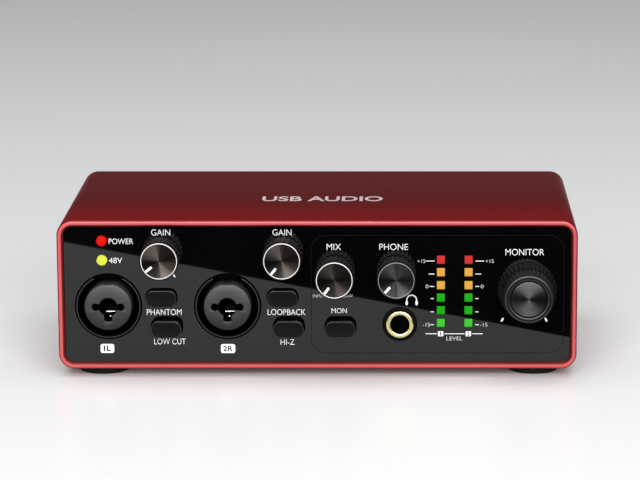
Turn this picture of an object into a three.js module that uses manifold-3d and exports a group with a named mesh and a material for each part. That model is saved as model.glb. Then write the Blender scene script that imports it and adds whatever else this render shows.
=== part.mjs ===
// Two-channel desktop audio interface: an extruded metal sleeve closed by a gloss front panel and a
// rear panel, with input jacks, knobs, push buttons and lights on a front circuit board.
// Millimetres, +Z up. The front faces -Y, +X is to the right seen from the front, and the origin is
// the centre of the object's footprint on the surface that it stands on.
import * as THREE from 'three';
import Module from 'manifold-3d';
import { mergeVertices } from 'three/addons/utils/BufferGeometryUtils.js';

const wasm = await Module();
wasm.setup();

// Driving dimensions of the case
const caseWidth = 184;
const caseHeight = 53.7;
const caseLength = 99;
const caseCorner = 5.5;
const caseWall = 2.2;
const caseEdgeBevel = 0.6;
const footHeight = 3;
const fitGap = 0.3;

// How far the knob faces stand ahead of the case, and the rear jack nuts behind it
const monitorReach = 13.8;
const knobReach = 10;
const nutReach = 1.5;
const frontEdge = monitorReach - (monitorReach + caseLength + nutReach) / 2;
const rearEdge = frontEdge + caseLength;

// Panels and circuit boards
const panelRecess = 1;
const panelThickness = 2;
const panelFront = frontEdge + panelRecess;
const panelBack = panelFront + panelThickness;
const rearPanelBack = rearEdge - panelRecess;
const rearPanelFront = rearPanelBack - panelThickness;
const boardThickness = 1.6;
const mainBoardTop = 8;
const frontBoardFace = panelBack + 9;

// Feature places on the front panel: x from the centre, height above the case's underside
const combos = [{ name: '1', x: -74.1, height: 22.7 }, { name: '2', x: -31.9, height: 22.7 }];
const knobs = [
  { name: 'gain_1', x: -55.2, height: 41.1, pointer: -129 },
  { name: 'gain_2', x: -12.2, height: 41.1, pointer: -141 },
  { name: 'mix', x: 6.2, height: 34.25, pointer: -144 },
  { name: 'phones', x: 27.9, height: 34.25, pointer: -138 },
  { name: 'monitor', x: 74.3, height: 28.3, pointer: -169 },
];
const buttons = [
  { name: 'phantom', x: -55.3, height: 25.75, reach: 2.5 },
  { name: 'low_cut', x: -53.5, height: 15.1, reach: 4.5 },
  { name: 'loopback', x: -12.4, height: 25.75, reach: 2.5 },
  { name: 'hi_z', x: -10.2, height: 15.1, reach: 4.5 },
  { name: 'mon', x: 8.1, height: 15.1, reach: 4.5 },
];
const statusLeds = [
  { name: 'power', x: -76.2, height: 46.2, colour: 0xfa1414 },
  { name: 'phantom', x: -76.2, height: 39.2, colour: 0xebf03c },
];
const meterColumns = [{ name: 'left', x: 43.7 }, { name: 'right', x: 53.5 }];
const meterRows = [39.4, 34.9, 30.2, 25.7, 21.1, 16.5];
const phones = { x: 29.15, height: 16.15 };

// Feature places on the rear panel
const outputs = [{ name: 'left', x: 36, height: 26 }, { name: 'right', x: 10, height: 26 }];
const usb = { x: -40, height: 12 };
const screwInset = { x: 7, height: 7 };

// Sizes of the controls and sockets
const comboHoleRadius = 12;
const comboLipRadius = 11.7;
const comboRingRadius = 11.3;
const comboChannelRadius = 10.4;
const comboInsertRadius = 8.4;
const pinHoleRadius = 1.37;
const pinSpread = 4.45;
const jackRadius = 3.25;
const knobRadius = 7;
const knobCapRadius = 6.55;
const monitorRadius = 9.1;
const monitorFlangeRadius = 10.4;
const monitorCapRadius = 6.5;
const shaftRadius = 3;
const buttonWidth = 11.5;
const buttonHeight = 6.8;
const buttonCorner = 3;
const ledRadius = 1.8;
const meterSquare = 3.05;
const phonesFlangeRadius = 6.2;
const phonesRingRadius = 4.9;
const potSide = 9.8;
const switchSide = 6.8;
const outputHoleRadius = 5;
const outputNutRadius = 7;
const footRadius = 9;
const footPlaces = { x: 77, fromEnd: 13 };

function material(colour, roughness, metalness) {
  return new THREE.MeshStandardMaterial({ color: colour, roughness, metalness });
}

const anodised = material(0x7a1418, 0.38, 0.85);
const glossBlack = material(0x08080a, 0.12, 0);
const satinBlack = material(0x1c1c1e, 0.5, 0);
const insertGrey = material(0x4a4a4a, 0.5, 0);
const spunMetal = material(0x5a5450, 0.35, 1);
const brightMetal = material(0xb8b8ba, 0.3, 1);
const gold = material(0xe6d28c, 0.25, 1);
const rubberBlack = material(0x141414, 0.85, 0);
const boardGreen = material(0x14452c, 0.55, 0);
const paintedBlack = material(0x161618, 0.45, 0.2);

const group = new THREE.Group();

function add(name, geometry, look) {
  const mesh = new THREE.Mesh(geometry, look);
  mesh.name = name;
  group.add(mesh);
}

// Booleans: only positions are kept, so that shared vertices merge into a closed solid.
function solid(geometry) {
  const bare = geometry.clone();
  bare.deleteAttribute('normal');
  bare.deleteAttribute('uv');
  const merged = mergeVertices(bare, 1e-4);
  const mesh = new wasm.Mesh({
    numProp: 3,
    vertProperties: merged.attributes.position.array,
    triVerts: new Uint32Array(merged.index.array),
  });
  return new wasm.Manifold(mesh);
}

function geometryOf(manifold) {
  const mesh = manifold.getMesh();
  const geometry = new THREE.BufferGeometry();
  geometry.setAttribute('position', new THREE.BufferAttribute(mesh.vertProperties, 3));
  geometry.setIndex(new THREE.BufferAttribute(mesh.triVerts, 1));
  geometry.computeVertexNormals();
  return geometry;
}

function joined(first, ...others) {
  return geometryOf(others.reduce((whole, other) => whole.add(solid(other)), solid(first)));
}

function cut(body, ...tools) {
  return geometryOf(tools.reduce((whole, tool) => whole.subtract(solid(tool)), solid(body)));
}

// Outlines in the X-Z plane, drawn about their own centre
function roundedOutline(path, width, height, radius) {
  const right = width / 2;
  const top = height / 2;
  path.moveTo(right, -top + radius);
  path.lineTo(right, top - radius);
  path.absarc(right - radius, top - radius, radius, 0, Math.PI / 2);
  path.lineTo(-right + radius, top);
  path.absarc(-right + radius, top - radius, radius, Math.PI / 2, Math.PI);
  path.lineTo(-right, -top + radius);
  path.absarc(-right + radius, -top + radius, radius, Math.PI, 1.5 * Math.PI);
  path.lineTo(right - radius, -top);
  path.absarc(right - radius, -top + radius, radius, 1.5 * Math.PI, 2 * Math.PI);
  return path;
}

function circleOutline(x, height, radius) {
  return new THREE.Path().absarc(x, height, radius, 0, 2 * Math.PI);
}

function roundedHole(x, height, width, tall, radius) {
  const centred = roundedOutline(new THREE.Path(), width, tall, radius);
  const points = centred.getPoints(2).map((p) => new THREE.Vector2(p.x + x, p.y + height));
  return new THREE.Path(points);
}

function squareHole(x, height, side) {
  const corners = [[-1, -1], [1, -1], [1, 1], [-1, 1], [-1, -1]];
  return new THREE.Path(corners.map(([right, up]) => new THREE.Vector2(
    x + (right * side) / 2, height + (up * side) / 2)));
}

// A shape extruded from one depth to another: its own y becomes height above the case's underside.
function slab(shape, front, back, options = {}) {
  const { steps = 10, bevel = 0 } = options;
  const geometry = new THREE.ExtrudeGeometry(shape, {
    depth: back - front - 2 * bevel,
    curveSegments: steps,
    bevelEnabled: bevel > 0,
    bevelThickness: bevel,
    bevelSize: bevel,
    bevelOffset: -bevel,
    bevelSegments: 1,
  });
  return geometry.rotateX(Math.PI / 2).translate(0, back - bevel, footHeight);
}

function block(x, height, width, tall, front, back) {
  const geometry = new THREE.BoxGeometry(width, back - front, tall);
  return geometry.translate(x, (front + back) / 2, height + footHeight);
}

// A turned piece about a front-to-back axis: the profile lists radius and depth.
function turned(x, height, profile, segments = 24) {
  const points = profile.map(([radius, depth]) => new THREE.Vector2(radius, depth));
  return new THREE.LatheGeometry(points, segments).translate(x, 0, height + footHeight);
}

function rod(x, height, radius, front, back, segments = 24) {
  return turned(x, height, [[0, front], [radius, front], [radius, back], [0, back]], segments);
}

const middle = caseHeight / 2;
const innerWidth = caseWidth - 2 * caseWall;
const innerHeight = caseHeight - 2 * caseWall;
const screwPlaces = [
  { name: 'top_left', x: -caseWidth / 2 + screwInset.x, height: caseHeight - screwInset.height },
  { name: 'top_right', x: caseWidth / 2 - screwInset.x, height: caseHeight - screwInset.height },
  { name: 'bottom_left', x: -caseWidth / 2 + screwInset.x, height: screwInset.height },
  { name: 'bottom_right', x: caseWidth / 2 - screwInset.x, height: screwInset.height },
];
const screwRadius = 1.5;
const screwHeadRadius = 2.9;
const screwLength = 8;

// The sleeve: a rectangular tube with chamfered end edges. Two ledges on each side wall hold the
// main board, and four bosses at the rear corners take the rear panel's screws.
function makeSleeve() {
  const outline = roundedOutline(new THREE.Shape(), caseWidth, caseHeight, caseCorner);
  outline.holes.push(roundedOutline(new THREE.Path(), innerWidth, innerHeight, caseCorner - caseWall));
  const shell = slab(outline, frontEdge, rearEdge, { steps: 4, bevel: caseEdgeBevel });
  shell.translate(0, 0, middle);
  const bite = 0.5;
  const bossDepth = 14;
  const bossBack = rearPanelFront - fitGap;
  const bossSize = screwInset.x + 3 - caseWall + bite;
  const ledgeFront = frontBoardFace + 4;
  const ledgeWidth = 1.6 + bite;
  const ledgeHeight = 1.2;
  const extras = [];
  for (const side of [-1, 1]) {
    const ledgeX = side * (innerWidth / 2 - ledgeWidth / 2 + bite);
    for (const height of [mainBoardTop - boardThickness - fitGap - ledgeHeight / 2,
      mainBoardTop + fitGap + ledgeHeight / 2]) {
      extras.push(block(ledgeX, height, ledgeWidth, ledgeHeight, ledgeFront, bossBack));
    }
  }
  for (const place of screwPlaces) {
    const up = place.height > middle ? 1 : -1;
    const x = Math.sign(place.x) * (innerWidth / 2 + bite - bossSize / 2);
    const height = middle + up * (innerHeight / 2 + bite - bossSize / 2);
    extras.push(block(x, height, bossSize, bossSize, bossBack - bossDepth, bossBack));
  }
  const holes = screwPlaces.map((place) => rod(
    place.x, place.height, screwRadius + fitGap, bossBack - screwLength - 2, bossBack + 1, 16));
  add('case_sleeve', cut(joined(shell, ...extras), ...holes), anodised);
}

function makeFrontPanel() {
  const slack = 2 * fitGap;
  const edge = roundedHole(0, middle, innerWidth - slack, innerHeight - slack, caseCorner - caseWall);
  const outline = new THREE.Shape(edge.getPoints());
  for (const combo of combos) outline.holes.push(circleOutline(combo.x, combo.height, comboHoleRadius));
  for (const knob of knobs) outline.holes.push(circleOutline(knob.x, knob.height, shaftRadius + 0.5));
  for (const led of statusLeds) outline.holes.push(circleOutline(led.x, led.height, ledRadius + fitGap));
  for (const button of buttons) {
    outline.holes.push(roundedHole(button.x, button.height, buttonWidth, buttonHeight, buttonCorner));
  }
  outline.holes.push(circleOutline(phones.x, phones.height, phonesFlangeRadius - 0.6));
  const window = meterSquare + 2 * fitGap;
  const windows = meterColumns.flatMap((column) => meterRows.map((height) => block(
    column.x, height, window, window, panelFront - 1, panelBack + 1)));
  add('front_panel', cut(slab(outline, panelFront, panelBack), ...windows), glossBlack);
}

function makeRearPanel() {
  const slack = 2 * fitGap;
  const edge = roundedHole(0, middle, innerWidth - slack, innerHeight - slack, caseCorner - caseWall);
  const outline = new THREE.Shape(edge.getPoints());
  for (const output of outputs) {
    outline.holes.push(circleOutline(output.x, output.height, outputHoleRadius));
  }
  for (const screw of screwPlaces) outline.holes.push(circleOutline(screw.x, screw.height, 1.9));
  outline.holes.push(roundedHole(usb.x, usb.height, 9.8, 4, 1.9));
  add('rear_panel', slab(outline, rearPanelFront, rearPanelBack, { steps: 8 }), paintedBlack);
  for (const screw of screwPlaces) {
    const headFront = rearPanelBack + 0.1;
    const tip = rearPanelFront - screwLength;
    const profile = [[0, tip], [screwRadius, tip], [screwRadius, headFront], [screwHeadRadius, headFront],
      [screwHeadRadius, headFront + 0.5], [screwHeadRadius - 0.9, headFront + 1.2], [0, headFront + 1.2]];
    const bar = block(screw.x, screw.height, 3.2, 0.8, headFront + 0.6, headFront + 2);
    const cross = block(screw.x, screw.height, 0.8, 3.2, headFront + 0.6, headFront + 2);
    const head = turned(screw.x, screw.height, profile, 16);
    add(`rear_screw_${screw.name}`, cut(head, bar, cross), brightMetal);
  }
}

// The boards: the main board lies in the sleeve's ledges, and the front board stands behind the
// panel, notched around the two combination jacks and the headphone jack.
const comboBody = { width: 24, bottom: 8.3, top: 37.1, depth: 24 };
const phonesBody = { width: 12.6, bottom: 8.3, top: 22.6, depth: 17 };

function makeBoards() {
  const boardWidth = innerWidth - 2 * fitGap;
  const boardFront = frontBoardFace + boardThickness + fitGap;
  const boardBack = rearPanelFront - 1;
  const boardCentre = mainBoardTop - boardThickness / 2;
  const board = block(0, boardCentre, boardWidth, boardThickness, boardFront, boardBack);
  const corners = [-1, 1].map((side) => block(
    side * boardWidth / 2, mainBoardTop, 2 * (screwInset.x + 3), 8, boardBack - 16, boardBack + 1));
  add('main_pcb', cut(board, ...corners), boardGreen);
  const bottom = mainBoardTop + 1;
  const top = caseHeight - caseWall - 1;
  const frontBoard = block(0, (bottom + top) / 2, innerWidth - 2, top - bottom,
    frontBoardFace, frontBoardFace + boardThickness);
  const notches = combos.map((combo) => block(
    combo.x - (combo.x < -60 ? 5 : 0), (comboBody.top + bottom) / 2,
    comboBody.width + 0.6 + (combo.x < -60 ? 10 : 0), comboBody.top - bottom + 1,
    frontBoardFace - 1, frontBoardFace + boardThickness + 1));
  notches.push(block(phones.x, (phonesBody.top + bottom) / 2, phonesBody.width + 0.6,
    phonesBody.top - bottom + 1, frontBoardFace - 1, frontBoardFace + boardThickness + 1));
  add('front_pcb', cut(frontBoard, ...notches), boardGreen);
}

// A combination jack takes a three-pin plug around its insert or a 6.35 mm plug in the middle.
// Its housing fills the panel hole with a lipped ring, open at the top for the latch.
function makeCombos() {
  const lipFront = panelFront - 0.6;
  const floor = panelBack + 14;
  const back = panelBack + comboBody.depth;
  for (const combo of combos) {
    const tall = comboBody.top - comboBody.bottom;
    const centre = (comboBody.top + comboBody.bottom) / 2;
    const body = block(combo.x, centre, comboBody.width, tall, panelBack + fitGap, back);
    const nose = turned(combo.x, combo.height, [[0, lipFront], [comboRingRadius, lipFront],
      [comboLipRadius, lipFront + 0.4], [comboLipRadius, panelBack + 1], [0, panelBack + 1]], 32);
    const channel = rod(combo.x, combo.height, comboChannelRadius, lipFront - 1, floor, 32);
    const latchHeight = combo.height + comboChannelRadius + 0.3;
    const latch = block(combo.x, latchHeight, 10, 3, lipFront - 1, panelBack + 10);
    add(`combo_jack_${combo.name}`, cut(joined(body, nose), channel, latch), satinBlack);
    add(`combo_insert_${combo.name}`, makeInsert(combo, panelFront - 2, floor - fitGap), insertGrey);
  }
}

function makeInsert(combo, front, back) {
  const body = turned(combo.x, combo.height, [[0, front], [comboInsertRadius - 0.4, front],
    [comboInsertRadius, front + 0.4], [comboInsertRadius, back], [0, back]], 32);
  const bore = rod(combo.x, combo.height, jackRadius, front - 1, back - 2, 20);
  const pins = [[-pinSpread, 0], [pinSpread, 0], [0, -4.1]].map(([x, height]) => rod(
    combo.x + x, combo.height + height, pinHoleRadius, front - 1, front + 10, 12));
  const notch = block(combo.x, combo.height + comboInsertRadius, 2.9, 1.4, front - 1, back + 1);
  return cut(body, bore, ...pins, notch);
}

function makeHeadphoneJack() {
  const { x, height } = phones;
  const face = panelFront - 0.9;
  const body = block(x, (phonesBody.top + phonesBody.bottom) / 2, phonesBody.width,
    phonesBody.top - phonesBody.bottom, panelBack + fitGap, panelBack + phonesBody.depth);
  const neck = turned(x, height, [[0, face], [phonesFlangeRadius - 0.5, face],
    [phonesFlangeRadius, face + 0.5], [phonesFlangeRadius, panelFront - 0.1],
    [phonesFlangeRadius - 0.9, panelFront - 0.1], [phonesFlangeRadius - 0.9, panelBack + 1],
    [0, panelBack + 1]]);
  const bore = rod(x, height, jackRadius + 0.1, face - 1, panelBack + phonesBody.depth - 1.5, 20);
  const seat = rod(x, height, phonesRingRadius + 0.2, face - 1, panelBack - fitGap);
  add('headphone_jack', cut(joined(body, neck), bore, seat), satinBlack);
  const ringBack = panelBack - 2 * fitGap;
  add('headphone_ring', turned(x, height, [[jackRadius + 0.1, face + 0.2], [jackRadius + 0.5, face - 0.2],
    [phonesRingRadius - 0.3, face - 0.2], [phonesRingRadius, face + 0.1], [phonesRingRadius, ringBack],
    [jackRadius + 0.1, ringBack], [jackRadius + 0.1, face + 0.2]]), gold);
}

// Potentiometer, shaft, knob and spun metal cap of one rotary control
function makeKnob(knob) {
  const { name, x, height, pointer } = knob;
  const big = name === 'monitor';
  const base = panelFront - 0.8;
  const face = frontEdge - (big ? monitorReach : knobReach);
  const capRadius = big ? monitorCapRadius : knobCapRadius;
  const body = big ? monitorBody(x, height, base, face) : smallKnobBody(x, height, base, face);
  const recess = rod(x, height, capRadius + 0.25, face - 1, face + 1.4);
  const bore = rod(x, height, shaftRadius + fitGap, face + 4, base + 1, 16);
  add(`knob_${name}`, cut(body, recess, bore), satinBlack);
  add(`cap_${name}`, makeCap(x, height, capRadius, face, pointer), spunMetal);
  add(`shaft_${name}`, rod(x, height, shaftRadius, face + 4.5, frontBoardFace - 1.2, 16), brightMetal);
  const pot = new THREE.Shape(roundedHole(x, height, potSide, potSide, 1).getPoints());
  pot.holes.push(circleOutline(x, height, shaftRadius + fitGap));
  add(`pot_${name}`, slab(pot, panelBack + 1.2, frontBoardFace - fitGap, { steps: 8 }), brightMetal);
}

// A fluted body: the outline waves between the flutes' tops and valleys and tapers to the front.
function flutedBody(x, height, base, face, baseRadius, faceRadius, flutes, depth) {
  const points = [];
  for (let index = 0; index < 2 * flutes; index += 1) {
    const angle = (index * Math.PI) / flutes;
    const radius = baseRadius - (index % 2) * depth;
    points.push(new THREE.Vector2(radius * Math.cos(angle), radius * Math.sin(angle)));
  }
  const geometry = slab(new THREE.Shape(points), face, base);
  const place = geometry.attributes.position;
  for (let index = 0; index < place.count; index += 1) {
    const front = place.getY(index) < (face + base) / 2;
    const scale = front ? faceRadius / baseRadius : 1;
    place.setXYZ(index, x + place.getX(index) * scale, place.getY(index),
      height + footHeight + (place.getZ(index) - footHeight) * scale);
  }
  return geometry;
}

function smallKnobBody(x, height, base, face) {
  return flutedBody(x, height, base, face + 0.3, knobRadius, knobRadius - 0.1, 18, 0.25);
}

function monitorBody(x, height, base, face) {
  const flange = turned(x, height, [[0, base - 2.2], [monitorRadius, base - 2.2],
    [monitorFlangeRadius, base - 1.2], [monitorFlangeRadius, base], [0, base]], 32);
  const skirt = flutedBody(x, height, base - 1, face + 1.6, monitorRadius, monitorRadius - 0.5, 24, 0.35);
  const crown = turned(x, height, [[0, face + 0.2], [7.6, face + 0.2], [8, face + 0.6], [8, face + 2],
    [0, face + 2]], 32);
  return joined(flange, skirt, crown);
}

// The cap's chamfered edge is the bright ring around its face, and a shallow groove from near the
// centre to the edge is the pointer. Angles are clockwise from twelve o'clock seen from the front.
function makeCap(x, height, radius, face, pointer) {
  const body = turned(x, height, [[0, face], [radius - 0.45, face], [radius, face + 0.4],
    [radius, face + 1.2], [0, face + 1.2]], 32);
  const groove = new THREE.BoxGeometry(1, 0.4, radius * 0.44);
  groove.translate(0, face + 0.1, radius * 0.74);
  groove.rotateY(THREE.MathUtils.degToRad(pointer));
  groove.translate(x, 0, height + footHeight);
  return cut(body, groove);
}

// A push button: a rounded key in its panel hole, with a wider flange behind the panel that keeps
// it captive and a stem that slides in the switch body. Two of the keys rest latched in.
const buttonTravel = 2.5;
const buttonOut = 4.5;
const stemSide = 3;

function makeButton(button) {
  const { name, x, height, reach } = button;
  const slack = 2 * fitGap;
  const face = panelFront - reach;
  const flangeFront = panelBack + fitGap + (buttonOut - reach);
  const flangeBack = flangeFront + 1.2;
  const key = new THREE.Shape(roundedHole(
    x, height, buttonWidth - slack, buttonHeight - slack, buttonCorner - fitGap).getPoints());
  const flange = block(x, height, buttonWidth + 0.8, buttonHeight + 0.8, flangeFront, flangeBack);
  const keySlab = slab(key, face, flangeFront + 0.5, { bevel: 0.35 });
  const stem = block(x, height, stemSide, stemSide, flangeBack - 0.5, flangeBack + 4);
  add(`button_${name}`, joined(keySlab, flange, stem), satinBlack);
  const switchFront = panelBack + fitGap + 1.2 + buttonTravel + fitGap;
  const body = new THREE.Shape(squareHole(x, height, switchSide).getPoints());
  body.holes.push(squareHole(x, height, stemSide + slack));
  add(`switch_${name}`, slab(body, switchFront, frontBoardFace - fitGap), brightMetal);
}

function makeStatusLed(led) {
  const front = panelFront - 0.5;
  const profile = [[0, front], [ledRadius * 0.6, front + 0.15], [ledRadius, front + 0.6],
    [ledRadius, frontBoardFace - fitGap], [0, frontBoardFace - fitGap]];
  add(`led_${led.name}`, turned(led.x, led.height, profile, 16), material(led.colour, 0.3, 0));
}

// A level meter's light bar: one moulding with a square window in each of the panel's holes
function makeMeter(column) {
  const spineFront = panelBack + fitGap;
  const bottom = Math.min(...meterRows) - 2.2;
  const top = Math.max(...meterRows) + 2.2;
  const spine = block(column.x, (top + bottom) / 2, 5, top - bottom, spineFront, frontBoardFace - fitGap);
  const windows = meterRows.map((height) => block(
    column.x, height, meterSquare, meterSquare, panelFront + 0.2, spineFront + 0.5));
  add(`meter_bar_${column.name}`, joined(spine, ...windows), material(0x3cb43c, 0.3, 0));
}

function makeOutput(output) {
  const { name, x, height } = output;
  const back = rearPanelBack + 1.6;
  const front = rearPanelFront - 18;
  const body = block(x, height, 14, 14, front, rearPanelFront - fitGap);
  const neck = rod(x, height, outputHoleRadius - 0.4, rearPanelFront - 1, back);
  const bore = rod(x, height, jackRadius + 0.1, front + 2, back + 1, 20);
  add(`output_jack_${name}`, cut(joined(body, neck), bore), satinBlack);
  const hexagon = rod(x, height, outputNutRadius, rearPanelBack + 0.1, rearEdge + nutReach, 6);
  const thread = rod(x, height, outputHoleRadius - 0.1, rearPanelBack - 1, rearEdge + nutReach + 1);
  add(`output_nut_${name}`, cut(hexagon, thread), brightMetal);
}

function makeUsb() {
  const front = rearPanelFront - 6;
  const shell = new THREE.Shape(roundedHole(usb.x, usb.height, 9, 3.2, 1.5).getPoints());
  const shellBody = slab(shell, front, rearPanelBack);
  const mouth = new THREE.Shape(roundedHole(usb.x, usb.height, 8.3, 2.5, 1.2).getPoints());
  const hollow = slab(mouth, front + 1, rearPanelBack + 1);
  const tongue = block(usb.x, usb.height, 6.6, 0.7, front + 0.5, rearPanelBack - 0.8);
  const legTop = usb.height - 1.5;
  const legs = block(usb.x, (legTop + mainBoardTop) / 2 + 0.1, 8, legTop - mainBoardTop - 0.2,
    front + 0.5, rearPanelFront - 1);
  const hollowShell = cut(joined(shellBody, legs), hollow);
  add('usb_socket', joined(hollowShell, tongue), brightMetal);
}

function makeFeet() {
  const top = footHeight - 0.1;
  const profile = [[0, 0], [footRadius - 1.6, 0], [footRadius - 1, 0.5], [footRadius, top], [0, top]];
  const points = profile.map(([radius, z]) => new THREE.Vector2(radius, z));
  const ends = [['front', frontEdge + footPlaces.fromEnd], ['rear', rearEdge - footPlaces.fromEnd]];
  for (const [side, x] of [['left', -footPlaces.x], ['right', footPlaces.x]]) {
    for (const [end, y] of ends) {
      const foot = new THREE.LatheGeometry(points, 24).rotateX(Math.PI / 2).translate(x, y, 0);
      add(`foot_${end}_${side}`, foot, rubberBlack);
    }
  }
}

makeSleeve();
makeFrontPanel();
makeRearPanel();
makeBoards();
makeCombos();
makeHeadphoneJack();
knobs.forEach(makeKnob);
buttons.forEach(makeButton);
statusLeds.forEach(makeStatusLed);
meterColumns.forEach(makeMeter);
outputs.forEach(makeOutput);
makeUsb();
makeFeet();

export default group;
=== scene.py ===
import math

import bmesh
import bpy
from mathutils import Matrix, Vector


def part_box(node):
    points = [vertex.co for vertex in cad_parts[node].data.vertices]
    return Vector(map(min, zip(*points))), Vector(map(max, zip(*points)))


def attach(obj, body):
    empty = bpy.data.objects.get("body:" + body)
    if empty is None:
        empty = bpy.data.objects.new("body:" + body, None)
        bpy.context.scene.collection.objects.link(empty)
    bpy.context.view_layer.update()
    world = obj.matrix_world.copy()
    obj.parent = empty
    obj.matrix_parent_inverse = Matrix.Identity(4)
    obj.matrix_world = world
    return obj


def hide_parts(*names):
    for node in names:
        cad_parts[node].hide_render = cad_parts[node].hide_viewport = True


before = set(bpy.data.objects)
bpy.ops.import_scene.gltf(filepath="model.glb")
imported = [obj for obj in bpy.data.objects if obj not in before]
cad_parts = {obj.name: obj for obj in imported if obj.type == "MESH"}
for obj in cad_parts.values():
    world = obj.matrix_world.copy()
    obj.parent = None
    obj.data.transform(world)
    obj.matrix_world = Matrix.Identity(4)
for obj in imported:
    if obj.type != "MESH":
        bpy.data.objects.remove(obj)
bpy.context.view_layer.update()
mm = 0.001

sleeveLow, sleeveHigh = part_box("case_sleeve")
panelLow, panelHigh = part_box("front_panel")
rearLow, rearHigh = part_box("rear_panel")
panelFace = panelLow.y    # the gloss face that everyone sees
rearFace = rearHigh.y
caseMiddle = (sleeveLow + sleeveHigh) / 2
smallKnobs = ("gain_1", "gain_2", "mix", "phones")
keyNames = ("phantom", "low_cut", "loopback", "hi_z", "mon")
jackNumbers = ("1", "2")
bothSides = ("left", "right")
made = {}    # every material by the name of its look


def centreOf(node):
    low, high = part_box(node)
    return (low + high) / 2


def moved(place, right, up):
    # a place moved across and up, in millimetres
    return place + Vector((right, 0, up)) * mm


def reach(centre, place):
    # how far a centre is from a front-to-back axis through a place, in millimetres
    return math.hypot(centre.x - place.x, centre.z - place.z) / mm


def deselectAll():
    if bpy.context.object and bpy.context.object.mode != 'OBJECT':
        bpy.ops.object.mode_set(mode='OBJECT')
    bpy.ops.object.select_all(action='DESELECT')


def choose(piece):
    deselectAll()
    piece.select_set(True)
    bpy.context.view_layer.objects.active = piece


def applyPlace(piece):
    choose(piece)
    bpy.ops.object.transform_apply(location=True, rotation=True, scale=True)


def applyModifiers(piece):
    choose(piece)
    for modifier in list(piece.modifiers):
        bpy.ops.object.modifier_apply(modifier=modifier.name)


def startEdit(piece, mode='FACE', action='DESELECT'):
    choose(piece)
    bpy.ops.object.mode_set(mode='EDIT')
    bpy.ops.mesh.select_mode(type=mode)
    bpy.ops.mesh.select_all(action=action)


def endEdit(turnOutward=False):
    if turnOutward:
        bpy.ops.mesh.select_all(action='SELECT')
        bpy.ops.mesh.normals_make_consistent(inside=False)
    bpy.ops.object.mode_set(mode='OBJECT')


def pickFaces(piece, test):
    # selects the faces whose centre and normal pass the test, in edit mode
    mesh = bmesh.from_edit_mesh(piece.data)
    for face in mesh.faces:
        face.select_set(bool(test(face.calc_center_median(), face.normal)))
    bmesh.update_edit_mesh(piece.data)


def pickEdges(piece, test):
    # selects the edges that pass the test, in edit mode
    mesh = bmesh.from_edit_mesh(piece.data)
    for edge in mesh.edges:
        edge.select_set(bool(test(edge)))
    bmesh.update_edit_mesh(piece.data)


def bridgeRims(piece):
    # joins the two open rims of a piece, in edit mode
    bpy.ops.mesh.select_mode(type='EDGE')
    pickEdges(piece, lambda edge: edge.is_boundary)
    bpy.ops.mesh.bridge_edge_loops()


def softenEdges(piece, width, segments=2, angle=35):
    # bevels the sharp edges by a width in millimetres
    bevel = piece.modifiers.new("softEdge", 'BEVEL')
    bevel.width = width * mm
    bevel.segments = segments
    bevel.limit_method = 'ANGLE'
    bevel.angle_limit = math.radians(angle)
    bevel.use_clamp_overlap = True
    applyModifiers(piece)


def cutAway(piece, *cutters):
    for cutter in cutters:
        boolean = piece.modifiers.new("cut", 'BOOLEAN')
        boolean.operation = 'DIFFERENCE'
        boolean.solver = 'EXACT'
        boolean.object = cutter
        applyModifiers(piece)
        bpy.data.objects.remove(cutter, do_unlink=True)
    return piece


def joinPieces(name, *parts):
    deselectAll()
    for part in parts:
        part.select_set(True)
    bpy.context.view_layer.objects.active = parts[0]
    if len(parts) > 1:
        bpy.ops.object.join()
    parts[0].name = name
    return parts[0]


def copyPiece(master, name, shift):
    piece = master.copy()
    piece.data = master.data.copy()
    piece.name = name
    bpy.context.scene.collection.objects.link(piece)
    piece.location = shift
    applyPlace(piece)
    return piece


def repeatPiece(master, label, nodeLabel, names):
    # copies a master to the node of each name and lets it go; it was modelled at the first node
    home = centreOf(nodeLabel + names[0])
    pieces = [copyPiece(master, label + name, centreOf(nodeLabel + name) - home) for name in names]
    bpy.data.objects.remove(master, do_unlink=True)
    return pieces


def dress(piece, *lookNames):
    piece.data.materials.clear()
    for name in lookNames:
        piece.data.materials.append(made[name])


def paintFaces(piece, index, test):
    for polygon in piece.data.polygons:
        if test(polygon.center, polygon.normal):
            polygon.material_index = index


def finishPiece(piece, *nodes, body="chassis", slot=None, angle=32, look=None):
    if look:
        dress(piece, look)
    choose(piece)
    bpy.ops.object.shade_smooth_by_angle(angle=math.radians(angle))
    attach(piece, body)
    if nodes:
        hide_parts(*nodes)


def roundedBlock(name, low, high, corner=0.0, segments=6):
    # a block between two corners in metres, whose front-to-back edges are rounded
    low, high = Vector(low), Vector(high)
    deselectAll()
    bpy.ops.mesh.primitive_cube_add(size=1, location=(low + high) / 2, scale=high - low)
    block = bpy.context.object
    block.name = name
    applyPlace(block)
    if corner > 0:
        startEdit(block, 'EDGE')
        pickEdges(block, lambda edge: abs(edge.verts[0].co.x - edge.verts[1].co.x) < 1e-6
                  and abs(edge.verts[0].co.z - edge.verts[1].co.z) < 1e-6)
        bpy.ops.mesh.bevel(offset=corner, segments=segments, affect='EDGES')
        endEdit()
    return block


def blockAt(name, place, width, tall, near, far, corner=0.0, segments=6):
    # a rounded block round a place, from near to far; width, tall and corner are in millimetres
    half = Vector((width / 2, 0, tall / 2)) * mm
    low = Vector((place.x, near, place.z)) - half
    high = Vector((place.x, far, place.z)) + half
    return roundedBlock(name, low, high, corner * mm, segments)


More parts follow.
